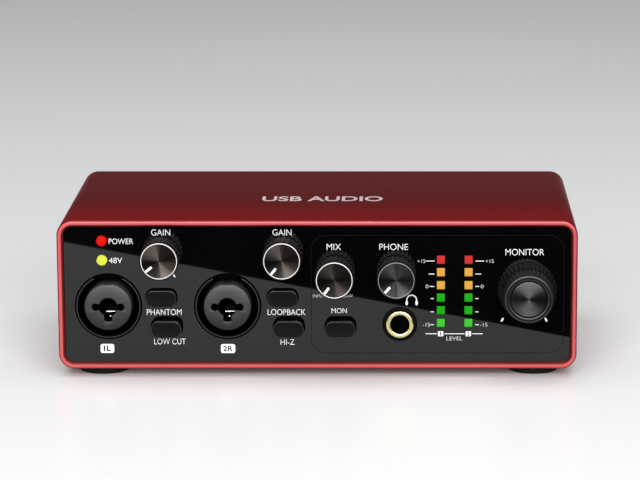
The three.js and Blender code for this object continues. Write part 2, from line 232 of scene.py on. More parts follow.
def turned(name, centre, walk, segments=64, start=0.0, grooves=None, ring=False, upright=False):
    # starts as one round face and is extruded step by step along the walk of (radius, depth), in
    # millimetres from the start; grooves pull part of the rim in from one step on, and a ring is
    # bridged at its ends
    axis = Vector((0, 0, 1)) if upright else Vector((0, 1, 0))
    turn = (0, 0, 0) if upright else (math.pi / 2, 0, 0)
    centre = centre + axis * (start - centre.dot(axis))
    walk = [(radius * mm, depth * mm) for radius, depth in walk]
    radius, depth = walk[0]
    deselectAll()
    bpy.ops.mesh.primitive_circle_add(vertices=segments, radius=radius, fill_type='NGON',
                                      location=centre + axis * depth, rotation=turn)
    piece = bpy.context.object
    piece.name = name
    applyPlace(piece)
    startEdit(piece, 'VERT', 'SELECT')
    for index, ((oldRadius, oldDepth), (radius, depth)) in enumerate(zip(walk, walk[1:])):
        bpy.ops.mesh.extrude_region_move(
            TRANSFORM_OT_translate={"value": tuple(axis * (depth - oldDepth))})
        ratio = radius / oldRadius
        across = (ratio, ratio, 1) if upright else (ratio, 1, ratio)
        here = centre + axis * depth
        bpy.ops.transform.resize(value=across, center_override=tuple(here))
        if grooves and index == grooves["from"]:
            sinkGrooves(piece, here, grooves)
    if ring:
        pickFaces(piece, lambda centre, normal: abs(normal.y) > 0.9 and reach(centre, here) < 0.1)
        bpy.ops.mesh.select_mode(type='FACE')
        bpy.ops.mesh.delete(type='ONLY_FACE')
        bridgeRims(piece)
    endEdit(turnOutward=True)
    return piece


def drill(place, radius, near, far, segments=64):
    # a round cutter of a radius in millimetres, from near to far
    return turned("drill", place, [(radius, 0), (radius, (far - near) / mm)], segments, near)


def sinkGrooves(piece, place, grooves):
    mesh = bmesh.from_edit_mesh(piece.data)
    rim = [vertex.index for vertex in mesh.verts if vertex.select]
    step = 2 * math.pi / grooves["count"]
    for vertex in mesh.verts:
        offset = vertex.co - place
        phase = (math.atan2(offset.z, offset.x) % step) / step
        vertex.select_set(vertex.select and phase < grooves["share"])
    mesh.select_flush(False)
    bmesh.update_edit_mesh(piece.data)
    bpy.ops.transform.resize(value=(grooves["ratio"], 1, grooves["ratio"]), center_override=tuple(place))
    mesh = bmesh.from_edit_mesh(piece.data)
    mesh.verts.ensure_lookup_table()
    for index in rim:
        mesh.verts[index].select_set(True)
    mesh.select_flush(True)
    bmesh.update_edit_mesh(piece.data)


def newGroup(name, inputs, outputs):
    group = bpy.data.node_groups.new(name, 'ShaderNodeTree')
    for label, kind, value in inputs:
        socket = group.interface.new_socket(name=label, in_out='INPUT', socket_type=kind)
        socket.default_value = value
    for label in outputs:
        group.interface.new_socket(name=label, in_out='OUTPUT', socket_type='NodeSocketFloat')
    start = group.nodes.new('NodeGroupInput')
    end = group.nodes.new('NodeGroupOutput')
    return group, start, end


def objectPlace(tree):
    return tree.nodes.new('ShaderNodeTexCoord').outputs["Object"]


def splitPlace(tree, place):
    parts = tree.nodes.new('ShaderNodeSeparateXYZ')
    tree.links.new(place, parts.inputs[0])
    return parts.outputs


def noiseNode(tree, place, scale, detail, distortion=0.0):
    noise = tree.nodes.new('ShaderNodeTexNoise')
    noise.inputs["Detail"].default_value = detail
    noise.inputs["Distortion"].default_value = distortion
    tree.links.new(place, noise.inputs["Vector"])
    tree.links.new(scale, noise.inputs["Scale"])
    return noise.outputs["Fac"]


def mathNode(tree, operation, *values):
    node = tree.nodes.new('ShaderNodeMath')
    node.operation = operation
    for index, value in enumerate(values):
        if hasattr(value, "is_output"):
            tree.links.new(value, node.inputs[index])
        else:
            node.inputs[index].default_value = value
    return node.outputs[0]


def buildGrainGroup():
    # fine grain for plastics and anodised metal: slow clouds, and a height of clouds and grain
    group, start, end = newGroup(
        "fineGrain",
        [("Scale", 'NodeSocketFloat', 2500.0), ("Cloud Scale", 'NodeSocketFloat', 60.0)],
        ["Cloud", "Height"])
    place = objectPlace(group)
    grain = noiseNode(group, place, start.outputs["Scale"], 3.0)
    cloud = noiseNode(group, place, start.outputs["Cloud Scale"], 4.0)
    group.links.new(cloud, end.inputs["Cloud"])
    group.links.new(mathNode(group, 'MULTIPLY_ADD', cloud, 0.3, grain), end.inputs["Height"])
    return group


def buildSmudgeGroup():
    # faint handling marks and specks of dust
    group, start, end = newGroup(
        "handlingMarks",
        [("Mark Scale", 'NodeSocketFloat', 25.0), ("Dust Scale", 'NodeSocketFloat', 900.0)],
        ["Marks", "Dust"])
    place = objectPlace(group)
    marks = noiseNode(group, place, start.outputs["Mark Scale"], 6.0, 0.8)
    group.links.new(marks, end.inputs["Marks"])
    dust = group.nodes.new('ShaderNodeTexVoronoi')
    group.links.new(place, dust.inputs["Vector"])
    group.links.new(start.outputs["Dust Scale"], dust.inputs["Scale"])
    group.links.new(mathNode(group, 'LESS_THAN', dust.outputs["Distance"], 0.05), end.inputs["Dust"])
    return group


def buildSpunGroup():
    # turning marks round a front-to-back axis through the mapped centre, and painted highlight fans for the
    # colour,
    # by angle round the centre: two turns make four fans, and uneven dims every other one
    group, start, end = newGroup(
        "turningMarksAndPaintedFans",
        [("Vector", 'NodeSocketVector', (0.0, 0.0, 0.0)), ("Lines Per Metre", 'NodeSocketFloat', 9000.0),
         ("Turns", 'NodeSocketFloat', 2.0), ("Uneven", 'NodeSocketFloat', 0.35)],
        ["Lines", "PaintedFans"])
    parts = splitPlace(group, start.outputs["Vector"])
    square = mathNode(group, 'MULTIPLY', parts["X"], parts["X"])
    distance = mathNode(group, 'SQRT', mathNode(group, 'MULTIPLY_ADD', parts["Z"], parts["Z"], square))
    wave = mathNode(group, 'SINE', mathNode(group, 'MULTIPLY', distance, start.outputs["Lines Per Metre"]))
    noise = group.nodes.new('ShaderNodeTexNoise')
    noise.noise_dimensions = '1D'
    noise.inputs["Scale"].default_value = 3000.0
    noise.inputs["Detail"].default_value = 2.0
    group.links.new(distance, noise.inputs["W"])
    lines = mathNode(group, 'MULTIPLY_ADD', wave, 0.25, noise.outputs["Fac"])
    group.links.new(lines, end.inputs["Lines"])
    # painted highlight: bright fans painted by angle round the centre
    angle = mathNode(group, 'ARCTAN2', parts["Z"], parts["X"])
    wheel = mathNode(group, 'SINE', mathNode(group, 'MULTIPLY', angle, start.outputs["Turns"]))
    fan = mathNode(group, 'POWER', mathNode(group, 'ABSOLUTE', wheel), 0.3)
    crisp = mathNode(group, 'MULTIPLY', wheel, 2.5)
    side = mathNode(group, 'MINIMUM', mathNode(group, 'MAXIMUM', crisp, -1.0), 1.0)
    loss = mathNode(group, 'MULTIPLY_ADD', side, start.outputs["Uneven"], start.outputs["Uneven"])
    paintedFans = mathNode(group, 'MULTIPLY', fan, mathNode(group, 'SUBTRACT', 1.0, loss))
    group.links.new(paintedFans, end.inputs["PaintedFans"])
    return group


grainGroup = buildGrainGroup()
smudgeGroup = buildSmudgeGroup()
spunMarksAndFansGroup = buildSpunGroup()


def newMaterial(name, colour, roughness, metallic=0.0):
    material = bpy.data.materials.new(name)
    material.use_nodes = True
    shader = material.node_tree.nodes["Principled BSDF"]
    shader.inputs["Base Color"].default_value = (*colour, 1.0)
    shader.inputs["Roughness"].default_value = roughness
    shader.inputs["Metallic"].default_value = metallic
    made[name] = material
    return material.node_tree, shader


def placeGroup(tree, group, **values):
    node = tree.nodes.new('ShaderNodeGroup')
    node.node_tree = group
    for label, value in values.items():
        node.inputs[label.replace("_", " ")].default_value = value
    return node


def spreadRoughness(tree, shader, factor, low, high):
    # stretches a 0-1 value to a range of roughness
    node = tree.nodes.new('ShaderNodeMapRange')
    tree.links.new(factor, node.inputs["Value"])
    node.inputs["To Min"].default_value = low
    node.inputs["To Max"].default_value = high
    tree.links.new(node.outputs[0], shader.inputs["Roughness"])


def blendColours(tree, shader, factor, first, second, socket="Base Color"):
    node = tree.nodes.new('ShaderNodeMix')
    node.data_type = 'RGBA'
    tree.links.new(factor, node.inputs["Factor"])
    node.inputs["A"].default_value = (*first, 1.0)
    node.inputs["B"].default_value = (*second, 1.0)
    tree.links.new(node.outputs["Result"], shader.inputs[socket])


def addBump(tree, shader, height, strength, distance):
    bump = tree.nodes.new('ShaderNodeBump')
    bump.inputs["Strength"].default_value = strength
    bump.inputs["Distance"].default_value = distance
    tree.links.new(height, bump.inputs["Height"])
    tree.links.new(bump.outputs["Normal"], shader.inputs["Normal"])


def grainyMaterial(name, look):
    # the common recipe: two close shades, clouded roughness and a fine bump
    tree, shader = newMaterial(name, look["colour"], look["roughness"], look.get("metallic", 0.0))
    grain = placeGroup(tree, grainGroup, Scale=look.get("grain", 2500.0), Cloud_Scale=look.get("cloud", 60.0))
    shade = tuple(channel * look.get("shade", 0.8) for channel in look["colour"])
    blendColours(tree, shader, grain.outputs["Cloud"], shade, look["colour"])
    shader.inputs["Specular IOR Level"].default_value = look.get("specular", 0.5)
    rough, change = look["roughness"], look.get("change", 0.06)
    spreadRoughness(tree, shader, grain.outputs["Cloud"], rough - change, rough + change)
    addBump(tree, shader, grain.outputs["Height"], look.get("bump", 0.15), 0.04 * mm)
    return tree, shader


looks = {
    # the four red edge looks below are lit and shaded copies of the anodised red: painted light and shade on
    # the case's lip
    "cutEdgeHighlightRed": {"colour": (0.46, 0.066, 0.067), "roughness": 0.36, "metallic": 0.5, "grain": 6000.0,
                   "cloud": 40.0, "shade": 0.93, "bump": 0.05, "change": 0.03},
    "lipRed": {"colour": (0.16, 0.003, 0.005), "roughness": 0.42, "metallic": 0.5, "bump": 0.05},
    "shadedRedEdge": {"colour": (0.1, 0.002, 0.003), "roughness": 0.45, "metallic": 0.5},
    "innerWallHighlightRed": {"colour": (0.55, 0.03, 0.033), "roughness": 0.4, "metallic": 0.5},
    "satinBlack": {"colour": (0.002, 0.002, 0.002), "roughness": 0.5, "specular": 0.03},
    "deepBlackAndShade": {"colour": (0.001, 0.001, 0.001), "roughness": 0.7, "specular": 0.0},
    "knobBlack": {"colour": (0.0035, 0.0035, 0.0035), "roughness": 0.4, "bump": 0.1, "specular": 0.045},
    "skirtBlack": {"colour": (0.004, 0.004, 0.004), "roughness": 0.4, "bump": 0.1, "specular": 0.1},
    "lipHighlightLine": {"colour": (0.02, 0.02, 0.02), "roughness": 0.4, "specular": 0.25},
    "keyEdge": {"colour": (0.006, 0.006, 0.006), "roughness": 0.3, "specular": 0.45},
    "keyBlack": {"colour": (0.0035, 0.0035, 0.0037), "roughness": 0.5, "grain": 3500.0, "specular": 0.04},
    "paintedBlack": {"colour": (0.012, 0.012, 0.013), "roughness": 0.5, "grain": 1800.0, "bump": 0.3},
    "plated": {"colour": (0.62, 0.62, 0.63), "roughness": 0.25, "metallic": 1.0},
    "goldPlated": {"colour": (0.72, 0.65, 0.31), "roughness": 0.24, "metallic": 1.0, "bump": 0.03},
    "rubber": {"colour": (0.005, 0.005, 0.005), "roughness": 0.8, "bump": 0.3, "grain": 1500.0,
               "specular": 0.12},
    "boardGreen": {"colour": (0.012, 0.09, 0.04), "roughness": 0.4, "cloud": 300.0, "shade": 0.5},
    "printWhite": {"colour": (0.69, 0.69, 0.69), "roughness": 0.6, "specular": 0.2},
    "printGrey": {"colour": (0.05, 0.05, 0.05), "roughness": 0.5},
    "printFaint": {"colour": (0.002, 0.002, 0.002), "roughness": 0.5, "specular": 0.06},
    "printTop": {"colour": (0.55, 0.46, 0.46), "roughness": 0.5},
    "knobRingHighlight": {"colour": (0.035, 0.035, 0.035), "roughness": 0.35, "metallic": 0.6, "bump": 0.05},
    "brightEdge": {"colour": (0.7, 0.68, 0.66), "roughness": 0.4, "metallic": 0.15, "bump": 0.03},
    "greyEdge": {"colour": (0.18, 0.18, 0.18), "roughness": 0.4, "metallic": 0.15, "bump": 0.03},
}
for lookName, lookValues in looks.items():
    grainyMaterial(lookName, lookValues)


def fadeAlong(tree, axis, start, end):
    # 0 at the start and 1 at the end of a stretch along one axis of the object
    fade = tree.nodes.new('ShaderNodeMapRange')
    fade.interpolation_type = 'SMOOTHSTEP'
    fade.inputs["From Min"].default_value = start
    fade.inputs["From Max"].default_value = end
    tree.links.new(splitPlace(tree, objectPlace(tree))[axis], fade.inputs["Value"])
    return fade.outputs[0]


# foot and top are the painted shade and painted light of the insert's face
insertLook = {"colour": (0.02, 0.02, 0.02), "roughness": 0.42, "grain": 3000.0, "specular": 0.3,
              "foot": (0.005, 0.005, 0.005), "top": (0.028, 0.028, 0.028)}
# back and front are the painted shade and painted light of the case's red
anodisedLook = {"colour": (0.2, 0.008, 0.011), "roughness": 0.4, "metallic": 0.8, "grain": 4000.0,
                "cloud": 25.0, "bump": 0.12, "change": 0.03, "fade": 45 * mm, "back": (0.17, 0.014, 0.015),
                "front": (0.32, 0.012, 0.015), "tint": (1.0, 0.45, 0.45, 1.0)}
glossLook = {"black": (0.001, 0.001, 0.0012), "dusty": (0.006, 0.006, 0.006), "smooth": 0.01,
             "rough": 0.035, "specular": 0.42}
spunLook = {"roughness": 0.32, "change": 0.03, "bump": 0.04, "bumpDeep": 0.02 * mm, "anisotropic": 0.8,
            "turn": 0.25}
lensLook = {"tint": 0.08, "roughness": 0.5, "specular": 0.04, "grain": 1800.0, "cloud": 500.0, "dim": 0.88,
            "strength": 0.9}
glows = {"redLens": (0.86, 0.006, 0.005), "yellowLens": (0.84, 0.88, 0.07), "meterRed": (0.67, 0.034, 0.034),
         "meterOrange": (0.82, 0.42, 0.06), "meterGreen": (0.013, 0.43, 0.008),
         "meterLightGreen": (0.06, 0.58, 0.038)}


def makeInsertGrey():
    # the insert's face is painted darker towards its foot: painted shade
    tree, shader = grainyMaterial("insertGrey", insertLook)
    low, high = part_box("combo_insert_1")
    blendColours(tree, shader, fadeAlong(tree, "Z", low.z, high.z), insertLook["foot"], insertLook["top"])


def makeAnodisedRed():
    # the anodised red is painted deeper towards the back and brighter along the front edge: a painted
    # gradient of light
    tree, shader = grainyMaterial("anodisedRed", anodisedLook)
    fade = fadeAlong(tree, "Y", sleeveLow.y + anodisedLook["fade"], sleeveLow.y)
    blendColours(tree, shader, fade, anodisedLook["back"], anodisedLook["front"])
    shader.inputs["Specular Tint"].default_value = anodisedLook["tint"]


def makeGlossPanel():
    tree, shader = newMaterial("glossPanel", glossLook["black"], glossLook["rough"])
    marks = placeGroup(tree, smudgeGroup)
    spreadRoughness(tree, shader, marks.outputs["Marks"], glossLook["smooth"], glossLook["rough"])
    shader.inputs["Specular IOR Level"].default_value = glossLook["specular"]
    blendColours(tree, shader, marks.outputs["Dust"], glossLook["black"], glossLook["dusty"])


def makeSpunMetal(name, centre, colour, shade, **paintedSheen):
    # fine circular turning marks: they spread the light across themselves; the colour is painted with fans of
    # highlight and shade
    rough, change = spunLook["roughness"], spunLook["change"]
    tree, shader = newMaterial(name, colour, rough, 1.0)
    shift = tree.nodes.new('ShaderNodeMapping')
    shift.inputs["Location"].default_value = (-centre.x, -centre.y, -centre.z)
    tree.links.new(objectPlace(tree), shift.inputs["Vector"])
    marks = placeGroup(tree, spunMarksAndFansGroup, **paintedSheen)
    tree.links.new(shift.outputs["Vector"], marks.inputs["Vector"])
    # painted highlight and painted shade: the colour goes from the shade to the bright colour by the fans
    blendColours(tree, shader, marks.outputs["PaintedFans"], shade, colour)
    spreadRoughness(tree, shader, marks.outputs["Lines"], rough - change, rough + change)
    addBump(tree, shader, marks.outputs["Lines"], spunLook["bump"], spunLook["bumpDeep"])
    shader.inputs["Anisotropic"].default_value = spunLook["anisotropic"]
    shader.inputs["Anisotropic Rotation"].default_value = spunLook["turn"]
    tangent = tree.nodes.new('ShaderNodeTangent')
    tangent.direction_type = 'RADIAL'
    tangent.axis = 'Y'
    tree.links.new(tangent.outputs["Tangent"], shader.inputs["Tangent"])


def makeLens(name, glow):
    # a lit lens: its plastic is a dark tint of its own light, and the glow is slightly uneven
    tint = tuple(channel * lensLook["tint"] for channel in glow)
    dim = tuple(channel * lensLook["dim"] for channel in glow)
    tree, shader = newMaterial(name, tint, lensLook["roughness"])
    shader.inputs["Specular IOR Level"].default_value = lensLook["specular"]
    grain = placeGroup(tree, grainGroup, Scale=lensLook["grain"], Cloud_Scale=lensLook["cloud"])
    blendColours(tree, shader, grain.outputs["Cloud"], dim, glow, "Emission Color")
    shader.inputs["Emission Strength"].default_value = lensLook["strength"]


makeGlossPanel()
makeAnodisedRed()
makeInsertGrey()
for lensName, lensGlow in glows.items():
    makeLens(lensName, lensGlow)
print("materials made:", len(made))


caseShape = {"corner": 5.5 * mm, "wall": 2.2 * mm, "round": 0.7 * mm, "roundSteps": 4, "plainFrom": 0.02 * mm,
             "plainTo": 0.45 * mm, "shadeWide": 0.62 * mm}


def makeCase():
    # both ends of a rounded block are drawn in step by step to a rounded lip, then opened and joined
    depth = Vector((0, caseShape["round"], 0))
    shell = roundedBlock("caseShell", sleeveLow + depth, sleeveHigh - depth, caseShape["corner"], 12)
    startEdit(shell)
    for side in (-1, 1):
        pickFaces(shell, lambda centre, normal: normal.y * side > 0.9)
        for inward, outward in lipSteps():
            bpy.ops.mesh.inset(thickness=inward, depth=outward)
    pickFaces(shell, lambda centre, normal: abs(normal.y) > 0.9 and abs(centre.x) < mm
              and abs(centre.z - caseMiddle.z) < mm)
    bpy.ops.mesh.delete(type='FACE')
    bridgeRims(shell)
    endEdit(turnOutward=True)
    dress(shell, "anodisedRed", "cutEdgeHighlightRed", "lipRed", "shadedRedEdge", "innerWallHighlightRed")
    paintLip(shell)
    finishPiece(shell, "case_sleeve", slot="anodised_case")


def lipSteps():
    # (inward, outward) moves: over the outer round, across the flat land, and down the inner round
    roundness, steps = caseShape["round"], caseShape["roundSteps"]
    angles = [step / steps * math.pi / 2 for step in range(steps + 1)]
    flat = caseShape["wall"] - roundness
    walk = [(roundness * (1 - math.cos(angle)), roundness * math.sin(angle)) for angle in angles]
    walk += [(flat + roundness * math.sin(angle), roundness * math.cos(angle)) for angle in angles]
    return [(new[0] - old[0], new[1] - old[1]) for old, new in zip(walk, walk[1:])]


def paintLip(shell):
    # painted light on the lip: the land is a cut edge painted as a highlight, the outer round is a darker
    # plain red, the inner round is painted shade
    outer = (sleeveHigh - sleeveLow) / 2
    corner, wall = caseShape["corner"], caseShape["wall"]

    def depthIn(centre):
        across = abs(centre.x) - (outer.x - corner)
        up = abs(centre.z - caseMiddle.z) - (outer.z - corner)
        if across > 0 and up > 0:
            return corner - math.hypot(across, up)
        return corner - max(across, up)

    shadeFrom = wall - caseShape["shadeWide"]
    bands = ((2, caseShape["plainFrom"], caseShape["plainTo"]), (1, caseShape["plainTo"], shadeFrom),
             (3, shadeFrom, wall + mm))
    for index, nearest, farthest in bands:
        paintFaces(shell, index, lambda centre, normal: centre.y < sleeveLow.y + caseShape["round"]
                   and nearest < depthIn(centre) < farthest)
    # the inner wall is painted a bright red: a painted highlight
    paintFaces(shell, 4, lambda centre, normal: depthIn(centre) > wall - 0.05 * mm)


makeCase()
print("case made")


# from here on, the values of each shape are in millimetres
panelShape = {"corner": 3.0, "comboHole": 12.0, "shaftHole": 3.5, "lightHole": 2.0, "phonesHole": 5.5,
              "keyHole": (11.5, 6.8, 3.0), "meterHole": 3.1}
meterShape = {"side": 2.78, "rows": (39.4, 34.9, 30.2, 25.7, 21.1, 16.5),
              "looks": ("meterRed", "meterOrange", "meterOrange", "meterGreen", "meterGreen",
                        "meterLightGreen")}


def meterPlaces():
    return [Vector((centreOf("meter_bar_" + side).x, 0, sleeveLow.z + row * mm))
            for side in bothSides for row in meterShape["rows"]]


def makePanel():
    panel = roundedBlock("frontPanel", panelLow, panelHigh, panelShape["corner"] * mm, 8)
    near, far = panelLow.y - mm, panelHigh.y + mm
    holes = [("combo_insert_" + number, "comboHole", 96) for number in jackNumbers]
    holes += [("shaft_" + name, "shaftHole", 48) for name in smallKnobs + ("monitor",)]
    holes += [("led_power", "lightHole", 48), ("led_phantom", "lightHole", 48)]
    holes += [("headphone_ring", "phonesHole", 64)]
    cutters = [drill(centreOf(node), panelShape[hole], near, far, segments) for node, hole, segments in holes]
    width, tall, corner = panelShape["keyHole"]
    cutters += [blockAt("keyHole", centreOf("button_" + name), width, tall, near, far, corner, 10)
                for name in keyNames]
    side = panelShape["meterHole"]
    cutters += [blockAt("meterHole", place, side, side, near, far) for place in meterPlaces()]
    cutAway(panel, *cutters)
    finishPiece(panel, "front_panel", slot="gloss_panel", look="glossPanel")


makePanel()
print("front panel made")


comboShape = {"lip": 11.7, "ring": 11.3, "channel": 10.4, "insert": 8.4, "bore": 3.25, "pin": 1.37,
              "pinSpread": 4.45, "opening": (10, 3.1), "latch": (9.2, 1.9), "latchUp": 0.35,
              "slots": ((-3.2, 0, 2.4, 2.1, 0), (3.2, 0, 2.4, 2.1, 0), (0, -3.4, 2.9, 3.6, 0.8)),
              "keyway": (2.9, 1.4), "blade": (0.85, -1.525, 3.5, 0.35), "bladeDrop": 0.5,
              "contact": (0.55, -4.0)}


def modelComboHousing():
    low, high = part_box("combo_jack_1")
    place = centreOf("combo_insert_1")
    front, floor = low.y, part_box("combo_insert_1")[1].y + 0.3 * mm
    lip, ring, channel = comboShape["lip"], comboShape["ring"], comboShape["channel"]
    deep, behind = (floor - front) / mm, (panelHigh.y - front) / mm
    nose = turned("nose", place, [
        (channel, deep), (channel, 0.5), (channel + 0.35, 0.1), (ring - 0.25, 0), (ring, 0),
        (ring + 0.25, 0.12), (lip, 0.6), (lip, behind + 0.4), (lip, deep + 1)], 96, front)
    body = roundedBlock("body", (low.x, panelHigh.y + 0.3 * mm, low.z), high, 1.2 * mm, 4)
    cutAway(body, drill(place, channel + 0.6, panelLow.y, floor + 0.5 * mm, 96))
    latchPlace = moved(place, 0, channel + comboShape["latchUp"])
    cutAway(nose, blockAt("opening", latchPlace, *comboShape["opening"], front - mm, panelHigh.y + 8 * mm))
    housing = joinPieces("housingMaster", body, nose)
    softenEdges(housing, 0.06, 2, 50)
    dress(housing, "satinBlack", "deepBlackAndShade", "lipHighlightLine")
    # the channel and everything behind the lip are painted deep black as painted shade; the lip's front crest
    # is painted lighter as a painted highlight
    paintFaces(housing, 1, lambda centre, normal: centre.y > front + 0.7 * mm
               or reach(centre, place) < ring - 0.24)
    paintFaces(housing, 2, lambda centre, normal: centre.y < front + 0.03 * mm)
    latch = blockAt("latchMaster", latchPlace, *comboShape["latch"], panelLow.y + 0.6 * mm,
                    panelHigh.y + 6 * mm, 0.5, 4)
    softenEdges(latch, 0.25, 3)
    # the latch in its opening is painted deep black: painted shade
    dress(latch, "deepBlackAndShade")
    return housing, latch


def modelComboInsert():
    low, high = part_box("combo_insert_1")
    place = centreOf("combo_insert_1")
    bore, outer = comboShape["bore"], comboShape["insert"]
    place.z = low.z + outer * mm
    back, near = (high.y - low.y) / mm, low.y - mm
    insert = turned("insertMaster", place, [
        (bore, back - 2), (bore, 0.3), (bore + 0.3, 0), (outer - 0.5, 0), (outer - 0.15, 0.15),
        (outer, 0.5), (outer, back)], 96, low.y)
    cutters = [drill(moved(place, side * comboShape["pinSpread"], 0), comboShape["pin"], near,
                     low.y + 10 * mm, 40) for side in (-1, 1)]
    for right, up, width, tall, corner in comboShape["slots"]:
        cutters.append(blockAt("slot", moved(place, right, up), width, tall, near, low.y + 8 * mm, corner))
    cutters.append(blockAt("keyway", moved(place, 0, outer + 0.3), *comboShape["keyway"], near, high.y + mm))
    cutAway(insert, *cutters)
    softenEdges(insert, 0.12, 2, 40)
    dress(insert, "insertGrey", "deepBlackAndShade")
    # the walls of the bore, pin holes and slots are painted deep black: painted shade
    paintFaces(insert, 1, lambda centre, normal: centre.y > low.y + 0.9 * mm
               and reach(centre, place) < outer - 0.6)
    right, up, width, tall = comboShape["blade"]
    blade = blockAt("bladeMaster", moved(place, right, up), width, tall, low.y + 2.2 * mm, low.y + 9 * mm,
                    0.1, 2)
    startEdit(blade)
    pickFaces(blade, lambda centre, normal: normal.y < -0.9)
    bpy.ops.transform.translate(value=(0, 0, -comboShape["bladeDrop"] * mm))
    endEdit()
    softenEdges(blade, 0.08)
    dress(blade, "plated")
    contact = turned("contactMaster", moved(place, *comboShape["contact"]),
                     [(0.12, 2.9), (0.32, 3.0), (0.42, 3.3), (0.42, 9)], 24, low.y)
    dress(contact, "plated")
    return insert, blade, contact


def makeComboJacks():
    labels = (("comboHousing", "combo_jack_", "satin_plastic"), ("comboLatch", None, "satin_plastic"),
              ("comboInsert", "combo_insert_", "insert_plastic"), ("comboBlade", None, "bright_metal"),
              ("comboContact", None, "bright_metal"))
    for (label, node, slot), master in zip(labels, modelComboHousing() + modelComboInsert()):
        for number, piece in zip(jackNumbers, repeatPiece(master, label, "combo_insert_", jackNumbers)):
            nodes = [node + number] if node else []
            finishPiece(piece, *nodes, slot=slot)


makeComboJacks()
print("combination jacks made")


phonesShape = {"flange": 6.2, "ring": 4.9, "bore": 3.35, "spring": (1.6, -2.65, 1.4, 0.5)}


def makeHeadphoneJack():
    low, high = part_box("headphone_jack")
    place = centreOf("headphone_ring")
    bore, ring, flange = phonesShape["bore"], phonesShape["ring"], phonesShape["flange"]
    front, behind = (panelLow.y - low.y) / mm, (panelHigh.y - low.y) / mm
    neck = turned("neck", place, [
        (bore, (high.y - low.y) / mm - 1.5), (bore, behind - 0.2), (ring + 0.15, behind - 0.2),
        (ring + 0.15, 0.15), (ring + 0.3, 0), (flange - 0.5, 0), (flange - 0.1, 0.2), (flange, 0.5),
        (flange, front - 0.05), (flange - 0.9, front - 0.05), (flange - 0.9, behind + 0.4)], 80, low.y)
    body = roundedBlock("body", (low.x, panelHigh.y + 0.3 * mm, low.z), high, 0.8 * mm, 4)
    cutAway(body, drill(place, bore + 0.8, panelLow.y, high.y - 1.2 * mm))
    jack = joinPieces("headphoneJack", body, neck)
    dress(jack, "satinBlack", "deepBlackAndShade")
    # the bore behind the panel is painted deep black: painted shade
    paintFaces(jack, 1, lambda centre, normal: centre.y > panelHigh.y and reach(centre, place) < bore * 1.1)
    finishPiece(jack, "headphone_jack", slot="satin_plastic")
    ringLow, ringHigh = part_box("headphone_ring")
    back = (ringHigh.y - ringLow.y) / mm
    rim = turned("headphoneRing", place, [
        (bore, back), (bore, 0.45), (bore + 0.1, 0.22), (bore + 0.3, 0.06), (bore + 0.55, 0),
        (ring - 0.55, 0), (ring - 0.28, 0.06), (ring - 0.08, 0.22), (ring, 0.45), (ring, back)],
        80, ringLow.y, ring=True)
    finishPiece(rim, "headphone_ring", slot="gold_metal", look="goldPlated")
    right, up, width, tall = phonesShape["spring"]
    for side, label in ((-1, "Left"), (1, "Right")):
        spring = blockAt("headphoneSpring" + label, moved(place, side * right, up), width, tall,
                         panelHigh.y + 2 * mm, panelHigh.y + 9 * mm, 0.15, 2)
        softenEdges(spring, 0.1)
        finishPiece(spring, slot="bright_metal", look="plated")


makeHeadphoneJack()
print("headphone jack made")


smallKnob = {"base": 7.0, "face": 6.9, "cap": 6.42, "ring": 0.3, "flutes": 24, "share": 0.45, "depth": 0.955,
             "pointer": (0.85, 0.5, 0.93)}
# the monitor cap's two colours are its painted highlight and painted shade
bigKnob = {"flange": 10.4, "skirt": 9.1, "face": 8.75, "ring": 8.4, "cap": 6.35, "flutes": 36, "share": 0.45,
           "depth": 0.965, "slot": (1.1, 0.66, 0.93), "line": (0.5, 0.68, 0.91),
           "paintedSheen": (0.07, 0.07, 0.071), "shade": (0.024, 0.024, 0.024)}
# each cap's painted highlight colour, the painted shade of all caps, and how far every other painted fan is
# dimmed
capPaintedSheen = {"gain_1": (0.09, 0.077, 0.068), "gain_2": (0.078, 0.066, 0.06), "mix": (0.042, 0.034, 0.032),
            "phones": (0.056, 0.054, 0.055)}
capPaintedShade = (0.004, 0.003, 0.003)
capUneven = {"gain_1": 0.46, "gain_2": 0.44, "mix": 0.4, "phones": 0.25}
pointerAngles = {"gain_1": -129, "gain_2": -141, "mix": -144, "phones": -138, "monitor": -169}


def turnTo(piece, place, degrees):
    # turns a piece round the front-to-back axis and sets it at its place
    piece.rotation_euler = (0, math.radians(degrees), 0)
    piece.location = place
    applyPlace(piece)
    return piece


def makePointer(name, knob, cap, shape, near, far, corner, segments):
    # a bar whose ends are shares of the cap's radius, turned to the knob's setting
    width, start, end = shape
    low = Vector((-width / 2, 0, cap * start)) * mm
    high = Vector((width / 2, 0, cap * end)) * mm
    low.y, high.y = near, far
    bar = roundedBlock(name, low, high, corner * mm, segments)
    place = centreOf("cap_" + knob)
    return turnTo(bar, (place.x, 0, place.z), pointerAngles[knob])


def modelSmallKnob():
    capLow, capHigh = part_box("cap_gain_1")
    place = centreOf("cap_gain_1")
    base, face, cap = smallKnob["base"], smallKnob["face"], smallKnob["cap"]
    back, capBack = (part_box("knob_gain_1")[1].y - capLow.y) / mm, (capHigh.y - capLow.y) / mm
    grooves = {"from": 3, "count": smallKnob["flutes"], "share": smallKnob["share"],
               "ratio": smallKnob["depth"]}
    body = turned("bodyMaster", place, [
        (cap + 0.12, capBack + 0.2), (cap + 0.12, 0.55), (face - 0.15, 0.5), (face, 0.75), (face + 0.02, 1.1),
        (base - 0.05, back - 1.4), (base, back - 0.3), (base - 0.2, back)],
        smallKnob["flutes"] * 8, capLow.y, grooves)
    dress(body, "knobBlack")
    inner = cap - smallKnob["ring"]
    disc = turned("discMaster", place, [
        (inner - 0.15, 0.22), (inner, 0.18), (inner + 0.06, 0.03), (inner + 0.14, 0), (cap - 0.16, 0),
        (cap - 0.05, 0.06), (cap, 0.2), (cap, capBack)], 96, capLow.y)
    return body, disc


